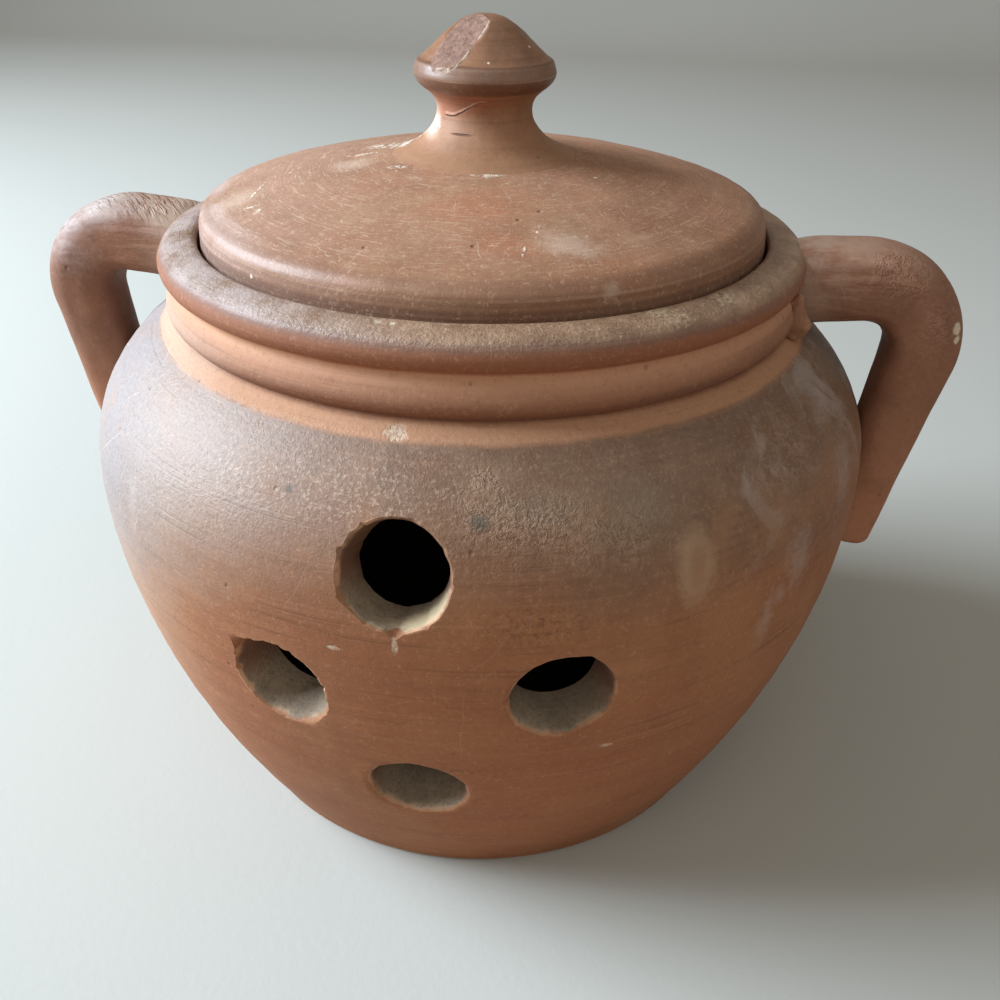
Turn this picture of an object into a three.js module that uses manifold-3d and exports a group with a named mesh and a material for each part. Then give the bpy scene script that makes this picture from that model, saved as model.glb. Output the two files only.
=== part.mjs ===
// Garlic keeper: a thrown earthenware jar with four vent holes, two strap handles and an inset lid.
// Millimetres, +Z up. The origin is on the jar's axis, in the plane that the foot stands on.
// The handles lie along X and the vent holes face -Y.

import * as THREE from "three";
import { mergeVertices } from "three/addons/utils/BufferGeometryUtils.js";
import Module from "manifold-3d";

const wasm = await Module();
wasm.setup();

// Clay walls
const WALL = 8.8;
const FLOOR = 9;

// Foot, belly and shoulder
const FOOT_RADIUS = 57;
const FOOT_BEVEL = 1.6;
const BELLY_RADIUS = 80;
const BELLY_HEIGHT = 74;
const LOWER_FULLNESS = 1.8;
const SHOULDER_FULLNESS = 2.75;

// Neck, with one raised ridge between the shoulder and the rim
const NECK_RADIUS = 61.2;
const NECK_HEIGHT = 105.5;
const RIDGE_HALF_HEIGHT = 3.6;
const RIDGE_SWELL = 1.8;

// Rolled rim and the ledge inside it that carries the lid
const RIM_RADIUS = 63.6;
const RIM_ROLL = 2.4;
const RIM_RISE = 14.8;
const RIM_ROLL_DEPTH = 4.2;
const MOUTH_RADIUS = 56;
const MOUTH_ROUNDING = 1.2;
const LEDGE_DEPTH = 5.7;
const LEDGE_WIDTH = 5.5;

// Vent holes, bored square to the wall, round a point below the widest part of the belly:
// turn about the axis from -Y towards +X, and height over that point
const VENT_RADIUS = 9;
const VENT_INNER_RADIUS = 7.6;
const VENT_GROUP_DROP = 13;
const VENT_SPREAD = 25.5;
const VENTS = [
  { name: "top", turn: 0, rise: VENT_SPREAD },
  { name: "left", turn: -16, rise: -1 },
  { name: "right", turn: 20, rise: 1.8 },
  { name: "bottom", turn: 1, rise: -VENT_SPREAD },
];

// Strap handles: a short arm leaves the neck, bends down and ends on the belly
const ROOT_RISE = 6.5;
const ROOT_DEPTH = 3;
const ARM_SLOPE = 4;
const BEND_INSET = 5;
const BEND_RADIUS = 12.5;
const BEND_TURN = 104;
const LEG_LENGTH = 42;
const HANDLE_THICKNESS = [16, 14, 10.5];
const HANDLE_WIDTH = [19, 14.5, 14.5];
const HANDLE_SQUARENESS = 0.72;

// Pinch of clay left in the corner between the right handle's root and the neck
const WAD_SIZE = new THREE.Vector3(5.4, 5.6, 8);
const WAD_TURN = 12;
const WAD_RISE = 3;
const WAD_REACH = 2.6;

// Lid, with its heights over the rim
const LID_CLEARANCE = 0.8;
const LID_SHOULDER_RISE = 5.7;
const LID_SHOULDER_INSET = 4;
const LID_TOP_RISE = 14;
const LID_SEAT_WIDTH = 9;
const LID_THICKNESS = 8.5;

// Knob: a waisted stem under a conical cap, with its heights over the lid's top
const KNOB_FOOT_RADIUS = 13.5;
const KNOB_STEM_RADIUS = 9;
const KNOB_STEM_RISE = 6.1;
const KNOB_CAP_RADIUS = 13.3;
const KNOB_UNDERSIDE_RISE = 10.2;
const KNOB_CAP_RISE = 13.9;
const KNOB_ARRIS_RADIUS = 12.6;
const KNOB_ARRIS_RISE = 16;
const KNOB_TOP_RISE = 23.7;
const KNOB_TOP_ROUNDING = 4.5;
const FACET_TURN = -28;
const FACET_TILT = 34;
const FACET_DISTANCE = 7;

// Gap kept where one piece of clay is pressed onto another
const JOINT_GAP = 0.3;

const ROUND_SIDES = 60;
const BELLY_STEPS = 13;
const HANDLE_SIDES = 16;
const HANDLE_RINGS = 22;

const degrees = THREE.MathUtils.degToRad;
const ridgeHeight = NECK_HEIGHT + RIDGE_HALF_HEIGHT;
const rimHeight = NECK_HEIGHT + RIM_RISE;
const rollHeight = rimHeight - RIM_ROLL_DEPTH;
const ledgeHeight = rimHeight - LEDGE_DEPTH;
const throatRadius = MOUTH_RADIUS - LEDGE_WIDTH;
const ventGroupHeight = BELLY_HEIGHT - VENT_GROUP_DROP;
const lidTop = rimHeight + LID_TOP_RISE;

// Outer radius of the belly and shoulder at a height
function bellyRadius(height) {
  if (height < BELLY_HEIGHT) {
    const drop = 1 - height / BELLY_HEIGHT;
    return BELLY_RADIUS - (BELLY_RADIUS - FOOT_RADIUS) * drop ** LOWER_FULLNESS;
  }
  const rise = (height - BELLY_HEIGHT) / (NECK_HEIGHT - BELLY_HEIGHT);
  return BELLY_RADIUS - (BELLY_RADIUS - NECK_RADIUS) * rise ** SHOULDER_FULLNESS;
}

// Direction square to the wall at a height, as radius and height
function wallNormal(height) {
  const step = 0.5;
  const slope = (bellyRadius(height + step) - bellyRadius(height - step)) / (2 * step);
  return new THREE.Vector2(1, -slope).normalize();
}

function bellyHeights(from, to) {
  const span = to - from;
  return Array.from({ length: BELLY_STEPS + 1 }, (_, step) => from + (span * step) / BELLY_STEPS);
}

// Outside of the jar from the edge of the foot to the inner edge of the rim
function outerOutline() {
  const belly = bellyHeights(FOOT_BEVEL, NECK_HEIGHT).map((z) => new THREE.Vector2(bellyRadius(z), z));
  const ridgeArc = degrees(65);
  const neck = new THREE.Path();
  neck.moveTo(NECK_RADIUS, NECK_HEIGHT);
  neck.absellipse(NECK_RADIUS, ridgeHeight, RIDGE_SWELL, RIDGE_HALF_HEIGHT, -ridgeArc, ridgeArc, false, 0);
  neck.lineTo(RIM_RADIUS - RIM_ROLL, rollHeight - RIM_ROLL);
  neck.absarc(RIM_RADIUS - RIM_ROLL, rollHeight, RIM_ROLL, -Math.PI / 2, degrees(30), false);
  const lip = new THREE.Vector2(MOUTH_RADIUS + MOUTH_ROUNDING, rimHeight - MOUTH_ROUNDING);
  neck.quadraticCurveTo(RIM_RADIUS - RIM_ROLL / 2, rimHeight, lip.x, rimHeight);
  neck.absarc(lip.x, lip.y, MOUTH_ROUNDING, Math.PI / 2, Math.PI, false);
  const foot = new THREE.Vector2(bellyRadius(FOOT_BEVEL) - FOOT_BEVEL, 0);
  return [foot, ...belly, ...neck.getPoints(2).slice(1)];
}

// Inside of the jar from the ledge down to the axis: the wall keeps its thickness down to the floor
function innerOutline() {
  const corner = FLOOR + WALL;
  const wall = bellyHeights(corner, NECK_HEIGHT - WALL / 2).reverse().map((z) => {
    const normal = wallNormal(z).multiplyScalar(WALL);
    return new THREE.Vector2(bellyRadius(z), z).sub(normal);
  });
  const below = wall.filter((point) => point.x > throatRadius && point.y < ledgeHeight - 2 * LEDGE_DEPTH);
  const last = below[below.length - 1];
  const floorCurve = new THREE.QuadraticBezierCurve(
    last,
    new THREE.Vector2(last.x - (last.y - FLOOR) / 2, FLOOR),
    new THREE.Vector2(last.x - (last.y - FLOOR) * 2, FLOOR),
  );
  return [
    new THREE.Vector2(MOUTH_RADIUS, ledgeHeight),
    new THREE.Vector2(throatRadius, ledgeHeight),
    new THREE.Vector2(throatRadius, below[0].y + WALL / 2),
    ...below,
    ...floorCurve.getPoints(6).slice(1),
    new THREE.Vector2(0, FLOOR),
  ];
}

// The outline moved outwards, square to itself
function offsetOutline(points, distance) {
  const normals = points.slice(1).map((point, i) => {
    const side = point.clone().sub(points[i]).normalize();
    return new THREE.Vector2(side.y, -side.x);
  });
  return points.map((point, i) => {
    const before = normals[Math.max(i - 1, 0)];
    const after = normals[Math.min(i, normals.length - 1)];
    const reach = distance / (1 + before.dot(after));
    return point.clone().addScaledVector(before, reach).addScaledVector(after, reach);
  });
}

// Turned solid on the Z axis
function turned(outline) {
  const geometry = new THREE.LatheGeometry(outline, ROUND_SIDES);
  geometry.rotateX(Math.PI / 2);
  return geometry;
}

function toSolid(geometry, matrix = new THREE.Matrix4()) {
  const bare = geometry.clone().applyMatrix4(matrix);
  bare.deleteAttribute("normal");
  bare.deleteAttribute("uv");
  const merged = mergeVertices(bare, 1e-4);
  const corners = merged.index.array;
  const kept = [];
  for (let i = 0; i < corners.length; i += 3) {
    const [a, b, c] = [corners[i], corners[i + 1], corners[i + 2]];
    if (a !== b && b !== c && c !== a) kept.push(a, b, c);
  }
  const mesh = new wasm.Mesh({
    numProp: 3,
    vertProperties: new Float32Array(merged.attributes.position.array),
    triVerts: new Uint32Array(kept),
  });
  return new wasm.Manifold(mesh);
}

function toGeometry(solid) {
  const mesh = solid.getMesh();
  const geometry = new THREE.BufferGeometry();
  geometry.setAttribute("position", new THREE.BufferAttribute(new Float32Array(mesh.vertProperties), 3));
  geometry.setIndex(new THREE.BufferAttribute(new Uint32Array(mesh.triVerts), 1));
  geometry.computeVertexNormals();
  return geometry;
}

function clay(color, roughness) {
  return new THREE.MeshStandardMaterial({ color, roughness, metalness: 0 });
}

function piece(name, solid, material) {
  const mesh = new THREE.Mesh(toGeometry(solid), material);
  mesh.name = name;
  return mesh;
}

// Tapered bore through the wall, square to the wall at its height
function ventCutter({ turn, rise }) {
  const height = ventGroupHeight + rise;
  const normal = wallNormal(height);
  const length = WALL * 3;
  const spread = ((VENT_RADIUS - VENT_INNER_RADIUS) / WALL) * (length / 2);
  const middle = (VENT_RADIUS + VENT_INNER_RADIUS) / 2;
  const geometry = new THREE.CylinderGeometry(middle + spread, middle - spread, length, 28);
  const out = new THREE.Vector3(0, -normal.x, normal.y);
  const centre = new THREE.Vector3(0, -bellyRadius(height), height).addScaledVector(out, -WALL / 2);
  const aim = new THREE.Quaternion().setFromUnitVectors(new THREE.Vector3(0, 1, 0), out);
  const matrix = new THREE.Matrix4().compose(centre, aim, new THREE.Vector3(1, 1, 1));
  matrix.premultiply(new THREE.Matrix4().makeRotationZ(degrees(turn)));
  return toSolid(geometry, matrix);
}

function jarBody() {
  const outline = [new THREE.Vector2(0, 0), ...outerOutline(), ...innerOutline()];
  return VENTS.reduce((body, vent) => body.subtract(ventCutter(vent)), toSolid(turned(outline)));
}

// Everything inside the jar's outer skin, swollen by the joint gap, with the room over the rim
function jarEnvelope() {
  const skin = offsetOutline(outerOutline(), JOINT_GAP);
  const outside = skin.slice(0, skin.findIndex((point) => point.y >= rollHeight));
  const edge = RIM_RADIUS + JOINT_GAP;
  const over = rimHeight + HANDLE_THICKNESS[0];
  const column = new THREE.Path([new THREE.Vector2(edge, rollHeight), new THREE.Vector2(edge, over)]);
  column.lineTo(0, over);
  return toSolid(turned([new THREE.Vector2(0, skin[0].y), ...outside, ...column.getPoints(1)]));
}

function handleRoute() {
  const slope = degrees(ARM_SLOPE);
  const arm = new THREE.Vector2(Math.cos(slope), Math.sin(slope));
  const start = new THREE.Vector2(NECK_RADIUS - ROOT_DEPTH, NECK_HEIGHT + ROOT_RISE);
  const bend = start.clone().addScaledVector(arm, (BELLY_RADIUS - BEND_INSET - start.x) / arm.x);
  const centre = bend.clone().add(new THREE.Vector2(arm.y, -arm.x).multiplyScalar(BEND_RADIUS));
  const first = Math.PI / 2 + slope;
  const last = first - degrees(BEND_TURN);
  const end = new THREE.Vector2(Math.cos(last), Math.sin(last)).multiplyScalar(BEND_RADIUS).add(centre);
  const leg = new THREE.Vector2(Math.sin(last), -Math.cos(last));
  const route = new THREE.Path();
  route.moveTo(start.x, start.y);
  route.lineTo(bend.x, bend.y);
  route.absarc(centre.x, centre.y, BEND_RADIUS, first, last, true);
  route.lineTo(end.x + leg.x * LEG_LENGTH, end.y + leg.y * LEG_LENGTH);
  return route;
}

// Size at a share of the route, from its root, middle and end values
function along([root, middle, end], share) {
  return share < 0.5
    ? THREE.MathUtils.lerp(root, middle, share * 2)
    : THREE.MathUtils.lerp(middle, end, share * 2 - 1);
}

function squareRound(value) {
  return Math.sign(value) * Math.abs(value) ** HANDLE_SQUARENESS;
}

// Closed solid through rings of points, with a flat face on each end
function loft(rings) {
  const sides = rings[0].length;
  const index = [];
  for (let ring = 0; ring < rings.length - 1; ring++) {
    for (let side = 0; side < sides; side++) {
      const near = ring * sides + side;
      const next = ring * sides + ((side + 1) % sides);
      index.push(near, next + sides, next, near, near + sides, next + sides);
    }
  }
  const last = (rings.length - 1) * sides;
  for (let side = 1; side < sides - 1; side++) {
    index.push(0, side, side + 1, last, last + side + 1, last + side);
  }
  const geometry = new THREE.BufferGeometry().setFromPoints(rings.flat());
  geometry.setIndex(index);
  return geometry;
}

// Handle on +X, before it is trimmed to the jar
function strapHandle() {
  const route = handleRoute();
  const rings = Array.from({ length: HANDLE_RINGS }, (_, ring) => {
    const share = ring / (HANDLE_RINGS - 1);
    const centre = route.getPointAt(share);
    const tangent = route.getTangentAt(share);
    const thickness = along(HANDLE_THICKNESS, share) / 2;
    const width = along(HANDLE_WIDTH, share) / 2;
    return Array.from({ length: HANDLE_SIDES }, (_, side) => {
      const angle = (2 * Math.PI * side) / HANDLE_SIDES;
      const up = squareRound(Math.cos(angle)) * thickness;
      const across = squareRound(Math.sin(angle)) * width;
      return new THREE.Vector3(centre.x - tangent.y * up, across, centre.y + tangent.x * up);
    });
  });
  return toSolid(loft(rings));
}

function clayWad(envelope, handle) {
  const lump = new THREE.SphereGeometry(0.5, 12, 8);
  const turn = degrees(-WAD_TURN);
  const reach = NECK_RADIUS + WAD_REACH;
  const place = new THREE.Vector3(Math.cos(turn) * reach, Math.sin(turn) * reach, NECK_HEIGHT + WAD_RISE);
  const matrix = new THREE.Matrix4().compose(place, new THREE.Quaternion(), WAD_SIZE);
  const shift = new THREE.Matrix4().makeTranslation(0, -JOINT_GAP, -JOINT_GAP);
  const handleRoom = toSolid(toGeometry(handle), shift).add(handle);
  return toSolid(lump, matrix).subtract(envelope).subtract(handleRoom);
}

function lidDisc() {
  const radius = MOUTH_RADIUS - LID_CLEARANCE;
  const seat = ledgeHeight + JOINT_GAP;
  const shoulder = new THREE.Vector2(radius - LID_SHOULDER_INSET, rimHeight + LID_SHOULDER_RISE);
  const hollowRadius = radius - LID_SEAT_WIDTH;
  const outline = new THREE.Path();
  outline.moveTo(hollowRadius, seat);
  outline.lineTo(radius - 1, seat);
  outline.lineTo(radius, seat + 1);
  outline.lineTo(radius, shoulder.y - LID_SHOULDER_INSET);
  outline.quadraticCurveTo(radius, shoulder.y - 0.8, shoulder.x, shoulder.y);
  outline.quadraticCurveTo(radius * 0.6, lidTop - 2, KNOB_FOOT_RADIUS + 0.5, lidTop);
  outline.lineTo(0, lidTop);
  const hollow = new THREE.QuadraticBezierCurve(
    new THREE.Vector2(0, lidTop - LID_THICKNESS),
    new THREE.Vector2(hollowRadius * 0.6, lidTop - LID_THICKNESS),
    new THREE.Vector2(hollowRadius - 3, shoulder.y - LID_THICKNESS),
  );
  const underside = [...hollow.getPoints(4), new THREE.Vector2(hollowRadius, seat)];
  return toSolid(turned([...outline.getPoints(4), ...underside]));
}

function lidKnob() {
  const base = lidTop + JOINT_GAP;
  const waist = lidTop + KNOB_STEM_RISE;
  const underside = lidTop + KNOB_UNDERSIDE_RISE;
  const cap = lidTop + KNOB_CAP_RISE;
  const arris = new THREE.Vector2(KNOB_ARRIS_RADIUS, lidTop + KNOB_ARRIS_RISE);
  const tip = new THREE.Vector2(0, lidTop + KNOB_TOP_RISE);
  const outline = new THREE.Path();
  outline.moveTo(0, base);
  outline.lineTo(KNOB_FOOT_RADIUS, base);
  outline.quadraticCurveTo(KNOB_STEM_RADIUS, base + 2, KNOB_STEM_RADIUS, waist);
  outline.quadraticCurveTo(KNOB_STEM_RADIUS, underside - 1, KNOB_CAP_RADIUS - 2, underside + 0.5);
  outline.lineTo(KNOB_CAP_RADIUS, cap - 1);
  outline.lineTo(KNOB_CAP_RADIUS, cap);
  outline.lineTo(arris.x, arris.y);
  const flank = tip.clone().sub(arris);
  outline.lineTo(KNOB_TOP_ROUNDING, tip.y + (flank.y / flank.x) * KNOB_TOP_ROUNDING * 0.45);
  outline.quadraticCurveTo(KNOB_TOP_ROUNDING / 2, tip.y, tip.x, tip.y);
  return toSolid(turned(outline.getPoints(4))).subtract(knobFacet());
}

// Flat chip sheared off the cap's flank
function knobFacet() {
  const size = KNOB_CAP_RADIUS * 2;
  const block = new THREE.BoxGeometry(size, size, size);
  const matrix = new THREE.Matrix4().makeTranslation(0, 0, lidTop + KNOB_ARRIS_RISE);
  matrix.multiply(new THREE.Matrix4().makeRotationZ(degrees(FACET_TURN)));
  matrix.multiply(new THREE.Matrix4().makeRotationX(degrees(FACET_TILT)));
  matrix.multiply(new THREE.Matrix4().makeTranslation(0, 0, FACET_DISTANCE + size / 2));
  return toSolid(block, matrix);
}

const envelope = jarEnvelope();
const handle = strapHandle();
const trimmedHandle = handle.subtract(envelope);

const jar = new THREE.Group();
jar.add(piece("jar_body", jarBody(), clay(0xa9734f, 0.82)));
const rightHandle = piece("handle_right", trimmedHandle, clay(0x8e6047, 0.8));
const leftHandle = piece("handle_left", trimmedHandle, clay(0x8e6047, 0.8));
leftHandle.rotation.z = Math.PI;
jar.add(rightHandle, leftHandle);
jar.add(piece("handle_right_wad", clayWad(envelope, handle), clay(0x9c6a4c, 0.85)));

const lid = new THREE.Group();
lid.add(piece("lid_disc", lidDisc(), clay(0xa97a5c, 0.85)));
lid.add(piece("lid_knob", lidKnob(), clay(0x7b5544, 0.7)));

const garlicKeeper = new THREE.Group();
garlicKeeper.add(jar, lid);

export default garlicKeeper;
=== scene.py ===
"""A garlic keeper in unglazed earthenware: a thrown jar with vent holes, two strap handles and an inset lid.

Shapes are drawn in millimetres, +Z up from the middle of the foot, and scaled to metres when finished.
"""

from functools import reduce
from math import cos, exp, hypot, pi, radians, sin

import bmesh
import bpy
from mathutils import Matrix, Vector, noise


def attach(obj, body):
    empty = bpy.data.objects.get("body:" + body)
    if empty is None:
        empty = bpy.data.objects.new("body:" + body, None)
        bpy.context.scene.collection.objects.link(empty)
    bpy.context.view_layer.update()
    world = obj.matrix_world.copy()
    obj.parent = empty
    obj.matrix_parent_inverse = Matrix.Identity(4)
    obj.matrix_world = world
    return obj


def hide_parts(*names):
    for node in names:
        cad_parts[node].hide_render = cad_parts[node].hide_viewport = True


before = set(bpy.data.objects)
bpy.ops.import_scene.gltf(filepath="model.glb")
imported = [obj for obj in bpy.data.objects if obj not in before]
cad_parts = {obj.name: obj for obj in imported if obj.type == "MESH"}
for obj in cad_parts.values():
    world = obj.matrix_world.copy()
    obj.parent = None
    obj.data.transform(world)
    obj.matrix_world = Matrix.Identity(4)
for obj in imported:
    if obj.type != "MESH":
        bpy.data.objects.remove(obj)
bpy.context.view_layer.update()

MM = 0.001
MERGE = 0.002
WHEEL_STEPS = 252

# Slow unevenness of what is turned on the wheel: how far it pushes, over what length, and which one
UNEVEN_PUSH = 0.32
UNEVEN_LENGTH = 46
noise.seed_set(18)

# Jar
WALL = 8.8
FLOOR = 9
FOOT_RADIUS = 57
FOOT_BEVEL = 1.8
BELLY_RADIUS = 80
BELLY_HEIGHT = 74
LOWER_FULLNESS = 1.8
SHOULDER_FULLNESS = 2.75
NECK_RADIUS = 61.2
NECK_HEIGHT = 105.5
MOUTH_RADIUS = 56
LEDGE_HEIGHT = 114.6
THROAT_RADIUS = 50.5
RIM_RADIUS = 63.6
RIM_ROLL_HEIGHT = 116.2

# From the groove over the ridge, up the cove and round the rolled rim to its mouth
NECK_CURVE = [
    (61.3, 105.7), (61.75, 106.1), (62.3, 106.65), (62.8, 107.4), (63.0, 108.3), (62.9, 109.3),
    (62.5, 110.4), (61.95, 111.5), (61.55, 112.4), (61.5, 113.1), (61.8, 113.65), (62.4, 114.0),
    (63.05, 114.55), (63.45, 115.35), (RIM_RADIUS, RIM_ROLL_HEIGHT), (63.48, 117.05), (63.1, 117.85),
    (62.5, 118.55), (61.65, 119.15), (60.6, 119.6), (59.4, 119.92), (58.2, 120.12), (57.3, 120.16),
    (56.6, 119.98), (56.2, 119.6), (56.02, 119.0), (56, 118.4),
]

# Vent holes: turn about the axis from -Y towards +X, height, how far the lip is smoothed back, how ragged
# it is, and its nicks as angle round the hole from the right, depth and half-width in degrees
VENT_RADIUS = 9
VENT_INNER_RADIUS = 7.6
VENTS = [
    {"turn": 0, "height": 86.5, "lip": 0.55, "ragged": 1.0, "nicks": [(-88, 0.9, 7), (208, 0.35, 14)]},
    {"turn": -16, "height": 60, "lip": 0.6, "ragged": 0.9, "nicks": [(138, 1.7, 13), (-62, 0.5, 16)]},
    {"turn": 20, "height": 62.8, "lip": 1.5, "ragged": 0.45, "nicks": [(64, 0.5, 9)]},
    {"turn": 1, "height": 35.5, "lip": 1.7, "ragged": 0.4, "nicks": []},
]

# Strap handles, as in the solids
ROOT_REACH = 58.2
ROOT_HEIGHT = 112
ROOT_TOP = 118.9
ARM_SLOPE = radians(4)
BEND_REACH = 75
BEND_RADIUS = 12.5
BEND_TURN = radians(104)
LEG_LENGTH = 42
STRAP_THICKNESS = (16, 14, 10.5)
STRAP_WIDTH = (19, 14.5, 14.5)
STRAP_SQUARENESS = 0.72
ARM_LENGTH = (BEND_REACH - ROOT_REACH) / cos(ARM_SLOPE)
STRAP_LENGTH = ARM_LENGTH + BEND_RADIUS * BEND_TURN + LEG_LENGTH

# Pinch of clay at the right strap's root
WAD_TURN = radians(-11.5)
WAD_REACH = 62.9
WAD_HEIGHT = 108.9
WAD_HALF_WIDTH = 1.7
WAD_HALF_HEIGHT = 4.5

# Lid and knob
LID_UNDERSIDE = 114.95
LID_HOLLOW_CURVE = [(0, 125.2), (16, 124.9), (30, 122.6), (41, 118.2), (45.6, 115.6), (46.6, LID_UNDERSIDE)]
LID_CURVE = [
    (55.3, 116.1), (55.38, 118), (55.38, 120.3), (55.3, 121.4), (55.14, 122.4), (55.0, 123.2),
    (54.75, 124.0), (54.2, 124.8), (53.3, 125.45), (52.0, 126.05), (50, 126.7), (47, 127.55),
    (43.5, 128.45), (39, 129.55), (33.8, 130.7), (29.5, 131.45), (24.9, 132.15), (20.5, 132.9),
    (17, 133.5), (14, 134.0),
]
KNOB_CURVE = [
    (18.6, 133.0), (16.6, 133.85), (14.7, 134.75), (12.7, 135.9), (11.2, 137.2), (10.0, 138.7),
    (9.3, 140.2), (9.1, 141.6), (9.3, 142.9), (9.9, 144.0), (10.9, 144.95), (12.0, 145.75),
    (12.85, 146.55), (13.28, 147.4), (13.42, 148.1), (13.35, 148.75), (13.15, 149.45), (12.9, 150.05),
]
KNOB_CAP_CURVE = [
    (12.6, 150.4), (11.4, 151.25), (10, 152.45), (8.6, 153.75), (7.2, 155.0), (5.6, 156.25), (3.8, 157.3),
    (1.9, 157.88), (0, 158),
]
CHIP_TURN = radians(-28)
CHIP_TILT = radians(34)
CHIP_DISTANCE = 7


def belly_radius(height):
    """Outer radius of the belly and shoulder at a height"""
    if height < BELLY_HEIGHT:
        return BELLY_RADIUS - (BELLY_RADIUS - FOOT_RADIUS) * (1 - height / BELLY_HEIGHT) ** LOWER_FULLNESS
    rise = min(1, (height - BELLY_HEIGHT) / (NECK_HEIGHT - BELLY_HEIGHT))
    return BELLY_RADIUS - (BELLY_RADIUS - NECK_RADIUS) * rise ** SHOULDER_FULLNESS


def wall_normal(height):
    """Direction square to the belly's wall at a height, as reach from the axis and height"""
    slope = belly_radius(height + 0.5) - belly_radius(height - 0.5)
    return Vector((1, -slope)).normalized()


def spread(low, high, count):
    return [low + (high - low) * step / count for step in range(count + 1)]


def flowing(points, count):
    """A smooth line through the given points, with this many steps between each two"""
    ends = [points[0], *points, points[-1]]
    line = []
    for a, b, c, d in zip(ends, ends[1:], ends[2:], ends[3:]):
        for t in spread(0, 1, count)[:-1]:
            line.append(tuple(
                0.5 * (
                    2 * q + (r - p) * t + (2 * p - 5 * q + 4 * r - s) * t ** 2
                    + (3 * q - p - 3 * r + s) * t ** 3
                )
                for p, q, r, s in zip(a, b, c, d)
            ))
    return line + [points[-1]]


def turned(outline, steps):
    """Clay turned on the wheel: the outline runs from the axis, round the section and back to the axis"""
    shape = bmesh.new()
    points = [shape.verts.new((reach, 0, height)) for reach, height in outline]
    edges = [shape.edges.new(pair) for pair in zip(points, points[1:])]
    bmesh.ops.spin(
        shape, geom=points + edges, cent=(0, 0, 0), axis=(0, 0, 1), angle=2 * pi, steps=steps, use_merge=True
    )
    bmesh.ops.remove_doubles(shape, verts=shape.verts, dist=MERGE)
    bmesh.ops.recalc_face_normals(shape, faces=shape.faces)
    return shape


def drawn_through(rings):
    """A capped ring of points carried through the others, one extrusion at a time"""
    shape = bmesh.new()
    made = bmesh.ops.create_circle(shape, cap_ends=True, segments=len(rings[0]), radius=1)
    cap = made["verts"][0].link_faces[0]
    points = [loop.vert for loop in cap.loops]
    for point, place in zip(points, rings[0]):
        point.co = place
    for index, ring in enumerate(rings[1:]):
        grown = bmesh.ops.extrude_face_region(shape, geom=[cap])["geom"]
        if index and cap.is_valid:
            bmesh.ops.delete(shape, geom=[cap], context="FACES_ONLY")
        cap = next(item for item in grown if isinstance(item, bmesh.types.BMFace))
        fresh = {item for item in grown if isinstance(item, bmesh.types.BMVert)}
        points = [
            next(end for end in (edge.other_vert(point) for edge in point.link_edges) if end in fresh)
            for point in points
        ]
        for point, place in zip(points, ring):
            point.co = place
    open_edges = [edge for edge in shape.edges if edge.is_boundary]
    if open_edges:
        bmesh.ops.holes_fill(shape, edges=open_edges, sides=0)
    bmesh.ops.recalc_face_normals(shape, faces=shape.faces)
    return shape


def in_scene(name, data):
    made = bpy.data.objects.new(name, data)
    bpy.context.scene.collection.objects.link(made)
    return made


def as_object(shape, name):
    mesh = bpy.data.meshes.new(name)
    shape.to_mesh(mesh)
    shape.free()
    return in_scene(name, mesh)


def carved(shape, tool):
    """The shape with the tool's shape cut away"""
    work, cutter = as_object(shape, "work"), as_object(tool, "cutter")
    cut = work.modifiers.new("cut", "BOOLEAN")
    cut.operation, cut.solver, cut.object = "DIFFERENCE", "EXACT", cutter
    result = bmesh.new()
    result.from_object(work, bpy.context.evaluated_depsgraph_get())
    for done in (work, cutter):
        mesh = done.data
        bpy.data.objects.remove(done)
        bpy.data.meshes.remove(mesh)
    bmesh.ops.remove_doubles(result, verts=result.verts, dist=MERGE)
    return result


def fingered(shape, rings, ring_pitch, grain, seed):
    """Leaves the mark of the making: faint rings from the fingers, a slow unevenness and a fine grain"""
    shape.normal_update()
    for point in shape.verts:
        place = point.co
        hold = min(1, max(0, place.z / 4))
        reach = hypot(place.x, place.y)
        ring_place = Vector((place.x / 70, place.y / 70, (place.z - 0.6 * reach) / ring_pitch + seed))
        out = rings * noise.noise(ring_place) + grain * noise.noise(place / 3.2 + Vector((seed, 0, 0)))
        uneven = UNEVEN_PUSH * noise.noise_vector(place / UNEVEN_LENGTH)
        point.co = place + hold * (out * point.normal + uneven)


def finished(shape, name, body, node, material, sharp=38):
    """Turns a shape in millimetres into a smooth-shaded piece of the pot"""
    bmesh.ops.scale(shape, vec=(MM, MM, MM), verts=shape.verts)
    piece = as_object(shape, name)
    piece.data.shade_smooth()
    piece.data.set_sharp_from_angle(angle=radians(sharp))
    piece.data.materials.append(material)
    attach(piece, body)
    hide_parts(node)


# Shapes

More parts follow.
